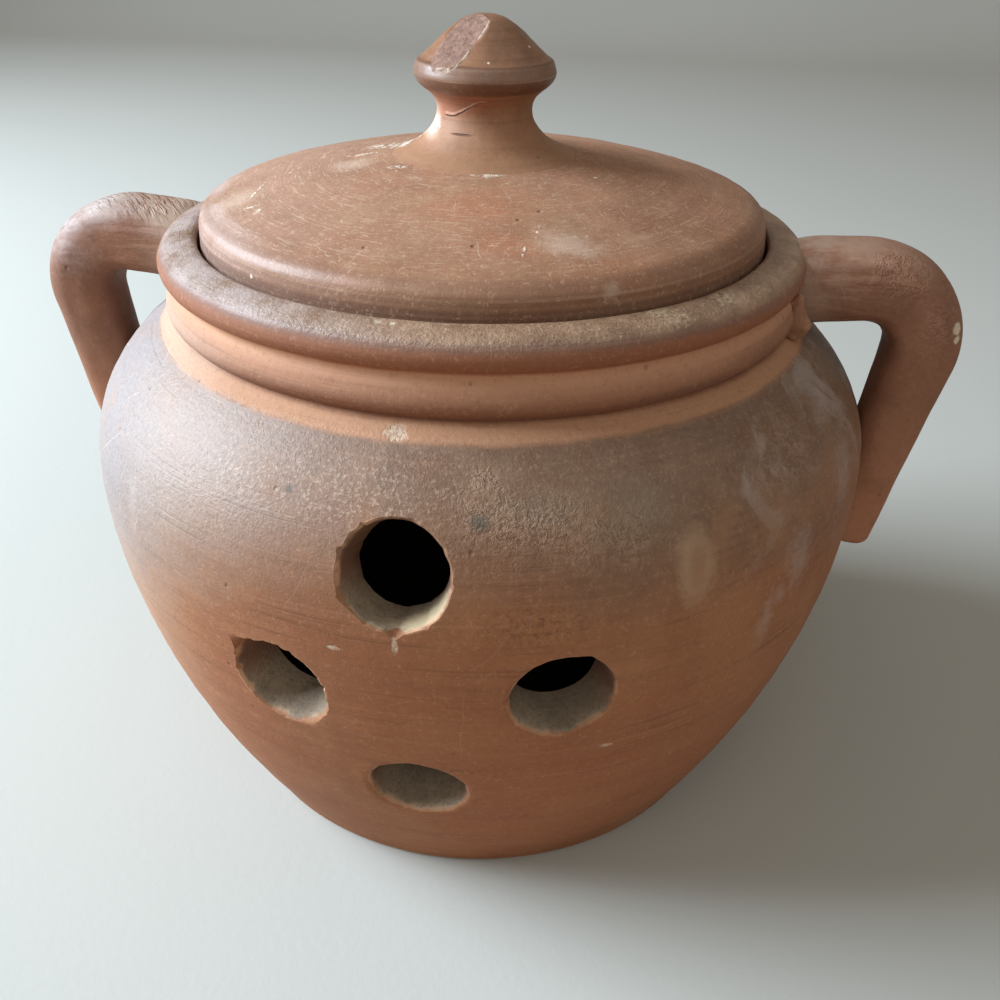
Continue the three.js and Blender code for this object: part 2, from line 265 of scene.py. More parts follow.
def jar_outline():
    """Half section of the jar, from the middle of the foot round to the middle of the floor inside"""
    foot = [(0, 0), (18, 0), (36, 0), (48, 0)]
    heel_reach = belly_radius(FOOT_BEVEL) - FOOT_BEVEL
    heel = [
        (heel_reach + FOOT_BEVEL * cos(angle), FOOT_BEVEL + FOOT_BEVEL * sin(angle))
        for angle in spread(-pi / 2, 0, 5)
    ]
    belly = [(belly_radius(z), z) for z in spread(FOOT_BEVEL, NECK_HEIGHT, 96)]
    seat = [(MOUTH_RADIUS, 116), (55.6, LEDGE_HEIGHT), (51, LEDGE_HEIGHT)]
    throat = [(THROAT_RADIUS, 114.1), (THROAT_RADIUS, 107)]
    inside = []
    for z in spread(101, FLOOR + WALL, 44):
        normal = wall_normal(z) * WALL
        if belly_radius(z) - normal.x > THROAT_RADIUS and z - normal.y < 103:
            inside.append((belly_radius(z) - normal.x, z - normal.y))
    corner = inside[-1]
    fall = corner[1] - FLOOR
    floor = [(corner[0] - fall * 2 * t, FLOOR + fall * (1 - t) ** 2) for t in spread(0, 1, 10)[1:]]
    floor += [(12, FLOOR), (0, FLOOR)]
    return [*foot, *heel, *belly[1:], *flowing(NECK_CURVE, 3), *seat, *throat, *inside, *floor]


def vent_frame(vent):
    """Middle of the vent's mouth, the way out of it, and the directions to its right and up"""
    normal = wall_normal(vent["height"])
    turn = Matrix.Rotation(radians(vent["turn"]), 3, "Z")
    outward = turn @ Vector((0, -normal.x, normal.y))
    middle = turn @ Vector((0, -belly_radius(vent["height"]), vent["height"]))
    return middle, outward, turn @ Vector((1, 0, 0)), turn @ Vector((0, normal.y, normal.x))


def sunk(point, outward, depth):
    """The point slid along the bore until it lies this deep under the belly's outer face"""
    for _ in range(5):
        point = point - outward * (hypot(point.x, point.y) - belly_radius(point.z) + depth)
    return point


def vent_cutter(vent, seed):
    """The core of clay pushed out of a vent hole, with the broken or smoothed lip that it leaves"""
    middle, outward, right, up = vent_frame(vent)
    lip = vent["lip"]
    # Depth under the belly's face, share of the lip's flare, and roughness
    steps = [
        (-5, 1.35, 0.6), (-0.6, 1.35, 0.6), (-0.12, 1, 1), (0.18, 0.45, 1), (0.5, 0.15, 0.7), (1, 0, 0.45),
        (2.2, 0, 0.3), (4.5, 0, 0.3), (7, 0, 0.25), (9.3, 0, 0.3), (12, 0.2, 0.3), (22, 0.4, 0),
    ]
    rings = []
    for depth, flare, rough in steps:
        taper = min(1, max(0, depth) / WALL)
        radius = VENT_RADIUS + (VENT_INNER_RADIUS - VENT_RADIUS) * taper + flare * lip
        ring = []
        for angle in spread(0, 2 * pi, 112)[:-1]:
            wide = Vector((cos(angle), sin(angle), 0.07 * depth + seed))
            uneven = 0.22 * noise.noise(wide * 1.3) + 0.16 * noise.noise(wide * 4.1)
            chips = max(0, noise.noise(Vector((wide.x * 6, wide.y * 6, seed))) - 0.12) * 1.1
            reach = radius + (uneven + chips * rough) * vent["ragged"]
            for nick, deep, half in vent["nicks"]:
                off = (radians(nick) - angle + pi) % (2 * pi) - pi
                fade = exp(-max(0, depth) / (1.6 + 2 * deep))
                reach += deep * exp(-(off / radians(half)) ** 2) * fade
            point = middle + right * (reach * cos(angle)) + up * (reach * sin(angle))
            ring.append(sunk(point, outward, depth * (1 if depth < 0.5 or lip < 1 else 1.15)))
        rings.append(ring)
    return drawn_through(rings)


def jar_shape():
    shape = turned(jar_outline(), WHEEL_STEPS)
    for seed, vent in enumerate(VENTS):
        shape = carved(shape, vent_cutter(vent, 3.7 * seed + 1))
    fingered(shape, rings=0.16, ring_pitch=2.6, grain=0.06, seed=4)
    return shape


def jar_core():
    """The jar's outside, a hair smaller, with the room over its rim, to trim what is pressed on to it"""
    bite = 0.45
    over = 132
    skin = jar_outline()
    top = next(index for index, (_, height) in enumerate(skin) if height >= ROOT_TOP)
    outline = [(reach - bite, height) for reach, height in skin[:top + 1] if height > 40]
    return turned([(0, outline[0][1]), *outline, (outline[-1][0], over), (0, over)], 160)


def between(values, share):
    root, middle, end = values
    return root + (middle - root) * share * 2 if share < 0.5 else middle + (end - middle) * (share * 2 - 1)


def strap_place(travel):
    """Centre of the strap and its heading after this much of its length, in the plane of the handles"""
    arm = Vector((cos(ARM_SLOPE), sin(ARM_SLOPE)))
    start = Vector((ROOT_REACH, ROOT_HEIGHT))
    if travel < ARM_LENGTH:
        return start + arm * travel, arm
    hub = start + arm * ARM_LENGTH + Vector((arm.y, -arm.x)) * BEND_RADIUS
    turned_by = min(BEND_TURN, (travel - ARM_LENGTH) / BEND_RADIUS)
    angle = pi / 2 + ARM_SLOPE - turned_by
    heading = Vector((sin(angle), -cos(angle)))
    past = max(0, travel - ARM_LENGTH - BEND_RADIUS * BEND_TURN)
    return hub + Vector((cos(angle), sin(angle))) * BEND_RADIUS + heading * past, heading


def squared(value):
    return (1 if value > 0 else -1) * abs(value) ** STRAP_SQUARENESS


def strap_shape(side, seed):
    """A pulled strap, wetted and smoothed by hand, then trimmed where it meets the jar"""
    rings = []
    trim = 0.9
    last = [STRAP_LENGTH - short for short in (0.45, 0.12, 0)]
    for travel in [*spread(0, STRAP_LENGTH - trim, 108), *last]:
        share = travel / STRAP_LENGTH
        centre, heading = strap_place(travel)
        dip = 0.13 * exp(-max(0, travel - 4) / 3.2)
        cut = min(1, (STRAP_LENGTH - travel) / trim)
        pinch = 0.5 * (1 - cut) ** 2
        thick = between(STRAP_THICKNESS, share) / 2 - pinch
        wide = between(STRAP_WIDTH, share) / 2 - pinch
        ring = []
        for angle in spread(0, 2 * pi, 88)[:-1]:
            across, up = squared(sin(angle)), squared(cos(angle))
            skin = Vector((travel / 17, across * 0.9, up * 0.9 + seed))
            lumps = 0.42 * noise.noise(skin) + 0.16 * noise.noise(skin * 2.7)
            pulled = Vector((travel / 34, across * 4.4 + seed, up * 4.4))
            along = 0.16 * noise.noise(pulled) * exp(-max(0, travel - 22) / 14)
            swell = 1 + (lumps + along) / 8
            up, across = up * thick * swell * (1 - dip if up > 0 else 1), across * wide * swell
            reach, height = centre.x - heading.y * up, centre.y + heading.x * up
            ring.append(Vector((reach * side, across * side, height)))
        rings.append(ring)
    return carved(drawn_through(rings), jar_core())


def wad_shape():
    """A pinch of clay thumbed into the corner beside the right handle's root, with a pressed face"""
    shape = bmesh.new()
    bmesh.ops.create_icosphere(shape, subdivisions=5, radius=1)
    turn = Matrix.Rotation(WAD_TURN, 3, "Z")
    middle = turn @ Vector((WAD_REACH, 0, WAD_HEIGHT))
    for point in shape.verts:
        place = point.co.copy()
        place *= 1 + 0.2 * noise.noise(place * 1.3 + Vector((2, 7, 1))) + 0.07 * noise.noise(place * 3.4)
        taper = 1 - 0.5 * place.z - 0.25 * max(0, -place.z) ** 2
        bulge = 0.9 * exp(-((place.z + 0.35) / 0.3) ** 2) * max(0, place.x)
        out = place.x * (2.3 - 0.7 * place.z) + bulge
        point.co = middle + turn @ Vector((out, place.y * WAD_HALF_WIDTH * taper, place.z * WAD_HALF_HEIGHT))
    return carved(shape, jar_core())


def lid_shape():
    seat = [(50, LID_UNDERSIDE), (54.3, LID_UNDERSIDE), (54.9, 115.4)]
    outline = [*flowing(LID_HOLLOW_CURVE, 4), *seat, *flowing(LID_CURVE, 4), (0, 134.0)]
    shape = turned(outline, WHEEL_STEPS)
    fingered(shape, rings=0.12, ring_pitch=2.2, grain=0.07, seed=11)
    return shape


def chip_plane():
    """The way that the knob's chip faces, and a point on it"""
    normal = Matrix.Rotation(CHIP_TURN, 3, "Z") @ Matrix.Rotation(CHIP_TILT, 3, "X") @ Vector((0, 0, 1))
    return normal, Vector((0, 0, KNOB_CAP_CURVE[0][1])) + normal * CHIP_DISTANCE


def knob_shape():
    shape = turned([(0, 131), (17.4, 131), *flowing(KNOB_CURVE, 4), *flowing(KNOB_CAP_CURVE, 5)], 168)
    fingered(shape, rings=0.1, ring_pitch=1.7, grain=0.05, seed=19)
    normal, foot = chip_plane()
    bmesh.ops.bisect_plane(
        shape, geom=[*shape.verts, *shape.edges, *shape.faces], dist=0.0005, plane_co=foot, plane_no=normal
    )
    for point in shape.verts:
        proud = (point.co - foot).dot(normal)
        if proud > 0.001 and point.co.z > 148:
            torn = 0.2 * noise.noise(point.co / 2.8) + 0.09 * noise.noise(point.co / 0.9)
            point.co -= normal * (proud + min(1, proud / 0.4) * (0.14 + torn))
    return shape


# Nodes: each call adds to the tree of the sockets that feed it and gives back the socket that it makes

def tone(color):
    """Three numbers are a colour as it shows, 0 to 255 in each; four numbers and sockets stay as they are"""
    if isinstance(color, bpy.types.NodeSocket) or len(color) == 4:
        return color
    shares = [value / 255 for value in color]
    return (*(v / 12.92 if v <= 0.04045 else ((v + 0.055) / 1.055) ** 2.4 for v in shares), 1.0)


def feed(made, values):
    for name, value in values.items():
        if isinstance(value, bpy.types.NodeSocket):
            made.id_data.links.new(value, made.inputs[name])
        else:
            made.inputs[name].default_value = value


def node(kind, values, tree=None, **settings):
    tree = tree or next(value.id_data for value in values.values() if isinstance(value, bpy.types.NodeSocket))
    made = tree.nodes.new("ShaderNode" + kind)
    for name, value in settings.items():
        setattr(made, name, value)
    feed(made, values)
    return made


def calc(operation, first, second=0.0):
    return node("Math", {0: first, 1: second}, operation=operation).outputs[0]


def add(*values):
    return reduce(lambda total, value: calc("ADD", total, value), values)


def times(*values):
    return reduce(lambda total, value: calc("MULTIPLY", total, value), values)


def either(*values):
    return reduce(lambda total, value: calc("MAXIMUM", total, value), values)


def weighed(*parts):
    """The sum of products, such as masks by their amounts"""
    return add(*(times(*part) for part in parts))


def swing(value, amount):
    """A value from 0 to 1 as a swing to both sides of nothing"""
    return times(add(value, -0.5), amount)


def vector(operation, first, second=(0, 0, 0)):
    made = node("VectorMath", {0: first, 1: second}, operation=operation)
    return made.outputs["Value" if operation in ("LENGTH", "DOT_PRODUCT") else "Vector"]


def scaled(first, amount):
    return node("VectorMath", {0: first, 3: amount}, operation="SCALE").outputs["Vector"]


def apart(place):
    return node("SeparateXYZ", {0: place}).outputs


def together(x, y, z):
    return node("CombineXYZ", {0: x, 1: y, 2: z}).outputs[0]


def from_axis(x, y):
    return vector("LENGTH", together(x, y, 0.0))


def rise(value, low, high):
    """Straight from 0 at low to 1 at high"""
    return node("MapRange", {"Value": value, "From Min": low, "From Max": high}).outputs["Result"]


def ease(value, low, high, start=0.0, end=1.0):
    """Smooth step from start at low to end at high"""
    values = {"Value": value, "From Min": low, "From Max": high, "To Min": start, "To Max": end}
    return node("MapRange", values, interpolation_type="SMOOTHSTEP").outputs["Result"]


def band(value, low, high, soft):
    """One between low and high, falling to nothing over soft on each side"""
    return times(ease(value, low - soft, low), ease(value, high + soft, high))


def cloud(place, size, detail=3.0, roughness=0.55, distortion=0.0):
    """Noise from 0 to 1 with lumps about this many metres across"""
    values = {
        "Vector": place, "Scale": 1 / size, "Detail": detail, "Roughness": roughness, "Distortion": distortion
    }
    return node("TexNoise", values).outputs["Fac"]


def tint(mask, under, over):
    return node("Mix", {0: mask, 6: tone(under), 7: tone(over)}, data_type="RGBA").outputs[2]


def layered(color, *layers):
    """The colour with others laid over it in turn, each given by its mask, its amount and itself"""
    for mask, amount, over in layers:
        color = tint(times(mask, amount), color, over)
    return color


def ramp(value, stops):
    made = node("ValToRGB", {"Fac": value})
    elements = made.color_ramp.elements
    for index, (place, color) in enumerate(stops):
        stop = elements[index] if index < 2 else elements.new(place)
        stop.position, stop.color = place, tone(color)
    return made.outputs["Color"]


# Effects that the materials share

def new_group(name, *outputs, **inputs):
    """An empty group that reads Place and more: the call that joins its outputs, and its inputs in turn"""
    tree = bpy.data.node_groups.new(name, "ShaderNodeTree")
    inputs = {"Place": (0, 0, 0), **inputs}
    for label, value in inputs.items():
        kind = "NodeSocketVector" if isinstance(value, tuple) else "NodeSocketFloat"
        tree.interface.new_socket(label, in_out="INPUT", socket_type=kind).default_value = value
    for label in outputs:
        tree.interface.new_socket(label, in_out="OUTPUT", socket_type="NodeSocketFloat")
    entry, leave = tree.nodes.new("NodeGroupInput"), tree.nodes.new("NodeGroupOutput")

    def give(**made):
        feed(leave, made)
        return tree

    return give, *(entry.outputs[label] for label in inputs)


def use(group, place, **values):
    """The group at a place: its output, or its outputs in turn"""
    made = place.id_data.nodes.new("ShaderNodeGroup")
    made.node_tree = group
    feed(made, {"Place": place, **values})
    return made.outputs[0] if len(made.outputs) == 1 else tuple(made.outputs)


def warped(place, scale, push, detail=2.0):
    """The place pushed about by noise"""
    values = {"Vector": place, "Scale": scale, "Detail": detail}
    return vector("ADD", place, scaled(node("TexNoise", values).outputs["Color"], push))


def make_turning_lines():
    """Lines left by turning: thin across, and long round the axis"""
    give, place, pitch, run = new_group("turning lines", "Lines", Pitch=0.001, Run=0.06)
    x, y, z = apart(place)
    around = together(calc("DIVIDE", x, run), calc("DIVIDE", y, run), calc("DIVIDE", z, pitch))
    values = {"Vector": around, "W": calc("DIVIDE", from_axis(x, y), pitch), "Scale": 1.0, "Detail": 2.0}
    return give(Lines=node("TexNoise", values, noise_dimensions="4D").outputs["Fac"])


def make_fired_clay():
    """Fired clay close up: slow mottling, fine grain and small pits"""
    give, place, pitting = new_group("fired clay", "Mottle", "Grain", "Pits", Pitting=0.06)
    mottle = weighed((cloud(place, 0.034, 4.0), 0.6), (cloud(place, 0.009), 0.4))
    grain = weighed((cloud(place, 0.0011, 3.0, 0.7), 0.6), (cloud(place, 0.00042, 2.0, 0.7), 0.4))
    cells = node("TexVoronoi", {"Vector": place, "Scale": 340.0}).outputs
    chosen = calc("LESS_THAN", apart(cells["Color"])[0], pitting)
    return give(Mottle=mottle, Grain=grain, Pits=times(ease(cells["Distance"], 0.2, 0.06), chosen))


def make_specks():
    """Scattered specks of grit or dust"""
    give, place, spacing, amount, size = new_group("specks", "Mask", Spacing=0.004, Amount=0.3, Size=0.16)
    values = {"Vector": warped(place, 900.0, 0.0006), "Scale": calc("DIVIDE", 1.0, spacing)}
    cells = node("TexVoronoi", values).outputs
    red, green, _ = apart(cells["Color"])
    size = times(size, add(0.4, green))
    spot = ease(cells["Distance"], size, times(size, 0.5))
    return give(Mask=times(spot, calc("LESS_THAN", red, amount)))


def make_scratches():
    """Short straight scratches, each with its own direction in the face of the clay"""
    give, place, facing, spacing, length, width, amount, seed = new_group(
        "scratches", "Mask", Facing=(0, 0, 0), Spacing=0.006, Length=0.4, Width=0.0001, Amount=0.5, Seed=0.0
    )
    place = vector("ADD", warped(place, 240.0, 0.0016), together(seed, seed, seed))
    cells = node("TexVoronoi", {"Vector": place, "Scale": calc("DIVIDE", 1.0, spacing)}).outputs
    off = vector("SUBTRACT", place, cells["Position"])
    across = vector("CROSS_PRODUCT", vector("SUBTRACT", cells["Color"], (0.5, 0.5, 0.5)), facing)
    aside = calc("ABSOLUTE", vector("DOT_PRODUCT", off, vector("NORMALIZE", across)))
    line = ease(aside, width, times(width, 0.3))
    first, second, third = apart(cells["Color"])
    reach = times(length, spacing, add(0.5, first))
    short = ease(vector("LENGTH", off), reach, times(reach, 0.6))
    depth = add(0.45, times(third, 0.55))
    return give(Mask=times(line, short, calc("LESS_THAN", second, amount), depth))


def make_mark():
    """One oval mark at its own place, with a ragged edge"""
    give, place, middle, size, soft, ragged = new_group(
        "mark", "Mask", Middle=(0, 0, 0), Size=(1, 1, 1), Soft=0.3, Ragged=0.5
    )
    far = vector("LENGTH", vector("DIVIDE", vector("SUBTRACT", place, middle), size))
    wander = add(cloud(place, 0.0022, 3.0, 0.65), -0.5)
    far = add(far, times(wander, ragged, 2.0))
    return give(Mask=ease(far, add(1.0, soft), calc("SUBTRACT", 1.0, soft)))


def make_slip_skin():
    """Wrinkled skin of slip: raised ridges with fine cracks between them"""
    give, place, size = new_group("slip skin", "Ridges", "Cracks", Size=0.003)
    scale = calc("DIVIDE", 1.0, size)
    place = warped(place, times(scale, 0.8), 0.0045, 3.0)
    fold = node("TexNoise", {"Vector": place, "Scale": scale, "Detail": 3.0, "Roughness": 0.6}).outputs["Fac"]
    ridges = ease(calc("ABSOLUTE", add(fold, -0.5)), 0.13, 0.0)
    values = {"Vector": place, "Scale": times(scale, 1.1)}
    cells = node("TexVoronoi", values, feature="DISTANCE_TO_EDGE").outputs
    return give(Ridges=ridges, Cracks=ease(cells["Distance"], 0.09, 0.0))


def make_bore():
    """Wall and broken lip of one vent hole, and the half of it that dust settles on"""
    give, place, middle, outward, up, width = new_group(
        "vent hole", "Wall", "Lip", "Low", Middle=(0, 0, 0), Outward=(0, 0, 0), Up=(0, 0, 0), Width=0.0006
    )
    off = vector("SUBTRACT", place, middle)
    out = vector("DOT_PRODUCT", off, outward)
    aside = vector("SUBTRACT", off, scaled(outward, out))
    near = ease(out, -0.0125, -0.0115)
    wander = swing(cloud(place, 0.0016, 3.0, 0.7), 0.0011)
    edge = add(vector("LENGTH", aside), wander)
    torn = times(ease(edge, add(0.0094, width), 0.0093), ease(edge, 0.0087, 0.009))
    return give(
        Wall=times(near, ease(edge, 0.0093, 0.009)),
        Lip=times(near, torn, ease(out, -0.0024, -0.0014)),
        Low=ease(add(vector("DOT_PRODUCT", aside, up), times(wander, 2.0)), 0.0006, -0.0058),
    )


TURNING = make_turning_lines()
CLAY = make_fired_clay()
SPECKS = make_specks()
SCRATCHES = make_scratches()
MARK = make_mark()
SKIN = make_slip_skin()
BORE = make_bore()


def marks(place, spots, soft, ragged):
    """One mask for several marks, each given by its middle and its half-sizes in millimetres"""
    shapes = [{"Middle": Vector(spot[:3]) * MM, "Size": Vector(spot[3:]) * MM} for spot in spots]
    return either(*(use(MARK, place, Soft=soft, Ragged=ragged, **shape) for shape in shapes))


def grained(color, grain, pits, dark, pale, deep, low=0.34):
    """Dark and pale grains and pits of fired clay, each given by its amount and colour"""
    return layered(color, (ease(grain, 0.52, 0.66), *dark), (ease(grain, 0.47, low), *pale), (pits, *deep))


# Materials

def start_material(name):
    """An empty material, and the place on the piece and the way its surface faces there"""
    material = bpy.data.materials.new(name)
    material.use_nodes = True
    material.node_tree.nodes.clear()
    spot = node("TexCoord", {}, material.node_tree).outputs
    return material, spot["Object"], spot["Normal"]


def fired(material, color, roughness, height, specular=0.5):
    """The material with its shader, from colour, roughness and a height in millimetres"""
    bump = node("Bump", {"Height": height, "Distance": MM, "Strength": 1.0}).outputs[0]
    values = {"Base Color": color, "Roughness": roughness, "Normal": bump, "Specular IOR Level": specular}
    node("OutputMaterial", {"Surface": node("BsdfPrincipled", values).outputs[0]})
    return material


def jar_material():
    """Orange earthenware with a sandy grey-brown film on the shoulder, wiped clean under the ridge"""
    material, place, facing = start_material("jar_clay")
    x, y, z = apart(place)
    reach = from_axis(x, y)
    mottle, grain, pits = use(CLAY, place, Pitting=0.045)
    fine = use(TURNING, place, Pitch=0.0009)
    broad = use(TURNING, place, Pitch=0.0042)
    slow = cloud(place, 0.05)
    patchy = cloud(place, 0.012, 5.0, 0.65)
    sand = cloud(place, 0.0007, 3.0, 0.7)

    combed = times(ease(fine, 0.54, 0.7), ease(cloud(place, 0.02, 2.0), 0.42, 0.6))
    # Painted light: a broad pale highlight over the left of the lower belly
    painted_left_light = times(ease(x, -0.034, -0.074), ease(z, 0.012, 0.056))
    color = layered(
        tint(ease(mottle, 0.36, 0.64), (140, 92, 60), (156, 108, 72)),
        (times(ease(slow, 0.4, 0.62), ease(z, 0.086, 0.06)), 0.6, (148, 90, 56)),
        (ease(broad, 0.5, 0.74), 0.22, (122, 84, 62)),
        (combed, 0.42, (104, 66, 46)),
        (times(painted_left_light, ease(patchy, 0.3, 0.6, 0.55, 1.0)), 0.68, (202, 176, 152)),
    )

    # Sandy film on the shoulder, lower on the left and darker on the right: pale dust with painted sheen over
    # its left, bluish painted sheen on the far left, and painted sheen in pale clouds along the right edge
    low = add(ease(x, -0.066, -0.012, 0.07, 0.088), swing(slow, 0.03), swing(patchy, 0.024))
    film = ease(calc("SUBTRACT", z, low), -0.016, 0.013)
    film = times(film, ease(add(z, swing(sand, 0.003)), 0.1042, 0.1026))
    # Left of the film: pale dust and painted sheen
    left_dust_and_sheen = ease(x, 0.012, -0.052)
    # Painted sheen: pale clouds along the right edge of the film
    right_edge_sheen_clouds = ease(cloud(place, 0.014, 4.0, 0.6, 1.2), 0.5, 0.68)
    film_color = layered(
        tint(ease(patchy, 0.36, 0.66), (98, 75, 57), (126, 100, 79)),
        (times(right_edge_sheen_clouds, ease(x, 0.03, 0.056)), 0.7, (158, 148, 140)),
        (left_dust_and_sheen, 0.85, (156, 142, 132)),
        # Painted sheen: bluish pale over the far left of the film
        (ease(x, -0.04, -0.066), 0.7, (136, 136, 142)),
    )
    color = layered(
        tint(times(film, ease(patchy, 0.26, 0.6, 0.6, 0.95)), color, film_color),
        (times(film, ease(sand, 0.54, 0.7)), ease(x, 0.03, -0.02, 0.12, 0.24), (202, 182, 164)),
        (times(film, ease(sand, 0.46, 0.3)), 0.34, (88, 68, 56)),
    )

    # Wiped band, groove, ridge, cove and face of the rim; the ramp paints shade in the groove, under the
    # ridge and under the rim's roll, and paints light on the upward face of the cove
    wavy = add(z, swing(cloud(place, 0.011), 0.0009), swing(fine, 0.0006))
    neck_and_painted_light = ramp(rise(wavy, 0.1, 0.12), [
        (0.0, (182, 136, 103)), (0.25, (176, 130, 97)), (0.285, (134, 88, 62)), (0.315, (124, 79, 56)),
        (0.36, (130, 85, 60)), (0.43, (142, 97, 71)), (0.52, (170, 123, 94)), (0.6, (194, 146, 114)),
        (0.66, (190, 142, 109)), (0.7, (142, 81, 50)), (0.745, (138, 85, 54)), (0.84, (138, 88, 60)),
        (0.92, (132, 90, 68)), (0.95, (138, 102, 80)),
    ])
    # Painted highlight: the left of the neck paler, where the light falls
    neck_and_painted_light = layered(neck_and_painted_light, (times(ease(x, -0.026, -0.056), ease(z, 0.1125, 0.109)), 0.5, (204, 180, 160)))
    worn_ridge = times(band(z, 0.1062, 0.1105, 0.0008), ease(broad, 0.5, 0.66))
    color = layered(tint(ease(wavy, 0.1028, 0.1036), color, neck_and_painted_light), (worn_ridge, 0.4, (104, 72, 54)))

    # Top of the rim: mottled, gritty and rubbed pale in places, with a bluish painted sheen on its left
    rolled = add(z, swing(patchy, 0.0012), ease(x, 0.02, 0.055, 0.0, 0.0008))
    top = times(ease(rolled, 0.1172, 0.1188), ease(reach, 0.0637, 0.0622))
    top_color = layered(
        tint(ease(patchy, 0.38, 0.64), (128, 99, 76), (162, 131, 104)),
        (ease(mottle, 0.5, 0.7), 0.4, (112, 82, 60)),
        (ease(sand, 0.56, 0.7), 0.4, (206, 186, 160)),
        (ease(sand, 0.45, 0.32), 0.35, (88, 64, 48)),
        # Painted sheen: bluish pale on the left of the rim's top
        (times(ease(x, 0.005, -0.035), ease(patchy, 0.34, 0.6)), 0.5, (178, 170, 172)),
    )
    shadow_line = times(band(rolled, 0.1181, 0.1186, 0.0006), ease(reach, 0.0608, 0.0622))
    crusty = marks(place, [(37.5, -45.5, 120, 4.6, 1.8, 1), (46.6, -35.6, 120, 2, 3, 1)], 0.8, 1.0)
    color = layered(
        tint(top, color, top_color),
        (shadow_line, 0.4, (112, 84, 76)),
        (times(crusty, ease(sand, 0.44, 0.58)), 0.6, (196, 178, 148)),
    )

    # Lines, grain, grit and scratches
    color = layered(
        color, (ease(fine, 0.6, 0.76), 0.22, (104, 68, 48)), (ease(fine, 0.42, 0.28), 0.12, (190, 146, 116))
    )
    color = grained(color, grain, pits, (0.24, (96, 64, 46)), (0.22, (206, 164, 134)), (0.35, (84, 54, 38)))
    grit = use(SPECKS, place, Spacing=0.008, Amount=0.06, Size=0.07)
    rubbed = either(
        use(SCRATCHES, place, Facing=facing, Spacing=0.02, Length=0.5, Width=0.00011),
        use(SCRATCHES, place, Facing=facing, Spacing=0.008, Width=0.00009, Seed=0.31),
    )
    on_film = times(rubbed, add(0.2, times(film, left_dust_and_sheen)))
    color = layered(color, (grit, 0.7, (206, 178, 150)), (on_film, 0.5, (222, 210, 200)))

    # Wrinkled slip round the top vent and on the right of the shoulder
    skin_ridges, skin_cracks = use(SKIN, place, Size=0.0019)
    wrinkled = marks(place, [
        (18.5, -71.4, 93.5, 12, 8, 5), (33, -67, 91, 13, 10, 4), (60, -42, 95.5, 7, 9, 5),
        (12.5, -68.5, 99.6, 2.2, 3, 1.6),
    ], 0.6, 0.7)
    wrinkled = times(wrinkled, ease(patchy, 0.36, 0.56, 0.35, 1.0))
    ridges, cracks = times(wrinkled, skin_ridges), times(wrinkled, skin_cracks)
    flecked = marks(place, [(-9, -72, 97, 13, 9, 3.4), (-24, -68, 96, 8, 8, 3)], 0.8, 0.9)
    color = layered(
        color,
        (times(flecked, ease(sand, 0.52, 0.62)), 0.38, (200, 178, 156)),
        (ridges, 0.3, (196, 162, 132)),
        (cracks, 0.22, (92, 66, 50)),
    )

    # Single marks
    ring = marks(place, [(46.3, -63.8, 85.5, 3.4, 3.4, 6.8)], 0.45, 0.35)
    inside_ring = marks(place, [(46.6, -63.4, 84.8, 1.5, 2, 4.4)], 0.7, 0.5)
    smears = marks(place, [
        (65.1, -46.5, 77.5, 2.6, 3, 5), (60.1, -52.4, 67.6, 1.4, 2, 4), (62, -50, 72, 1, 1.6, 2),
        (-52, -60, 84, 1.4, 1.6, 6), (68, -28, 99, 2, 9, 3), (73, -31, 89, 2, 4, 7),
    ], 0.9, 1.1)
    dull = marks(place, [(36.3, -63.4, 94, 8, 7, 4), (22, -70, 96, 6, 5, 2)], 0.9, 1.0)
    tan_patches = marks(place, [(57, -51, 87, 5, 5, 5), (50, -58, 88, 3, 4, 6)], 0.8, 1.2)
    chips = marks(place, [
        (-2.6, -63.5, 104, 1.9, 2, 1), (0.2, -80, 75, 0.55, 1.5, 1.5), (34.4, -68.5, 48.5, 1.2, 1.4, 0.6),
        (-10.3, -79.3, 72.4, 1.1, 1.4, 0.4), (-6.4, -58.1, 120, 0.6, 0.6, 0.6),
        (-4, -58.4, 120, 0.5, 0.5, 0.5),
    ], 0.35, 0.9)
    chips = times(chips, ease(sand, 0.4, 0.54, 0.35, 1.0))
    ash = either(
        marks(place, [(12.6, -72.9, 94.8, 1.3, 1.5, 1.2)], 0.6, 0.8),
        marks(place, [(-18.4, -70.6, 96, 0.6, 0.7, 0.5)], 0.4, 0.5),
    )
    smoked = times(marks(place, [(23, -76.5, 79, 9, 5, 3.4)], 0.7, 0.8), ease(grain, 0.5, 0.6))
    color = layered(
        color,
        (times(ring, calc("SUBTRACT", 1.0, times(inside_ring, 0.6))), 0.7, (172, 144, 114)),
        (smears, 0.3, (178, 166, 160)),
        (dull, 0.3, (122, 114, 94)),
        (tan_patches, 0.4, (150, 112, 78)),
        (chips, 0.7, (208, 190, 166)),
        (ash, 0.7, (74, 72, 60)),
        (smoked, 0.5, (88, 52, 38)),
    )

    # Vent holes
    walls, lips, settled = [], [], []
    for vent in VENTS:
        middle, outward, _, up = vent_frame(vent)
        ragged = vent["ragged"]
        wall, lip, low = use(
            BORE, place, Middle=middle * MM, Outward=outward, Up=up, Width=0.0002 + 0.00025 * ragged
        )
        walls.append(wall)
        lips.append(times(lip, 0.2 + 0.6 * ragged))
        settled.append(times(wall, low))
    wall = either(*walls)
    dust_color = tint(ease(patchy, 0.36, 0.62), (126, 110, 90), (150, 134, 112))
    dust_color = layered(dust_color, (ease(sand, 0.48, 0.6), 0.4, (98, 82, 64)))
    bore_color = tint(ease(patchy, 0.4, 0.6), (104, 72, 54), (120, 84, 62))
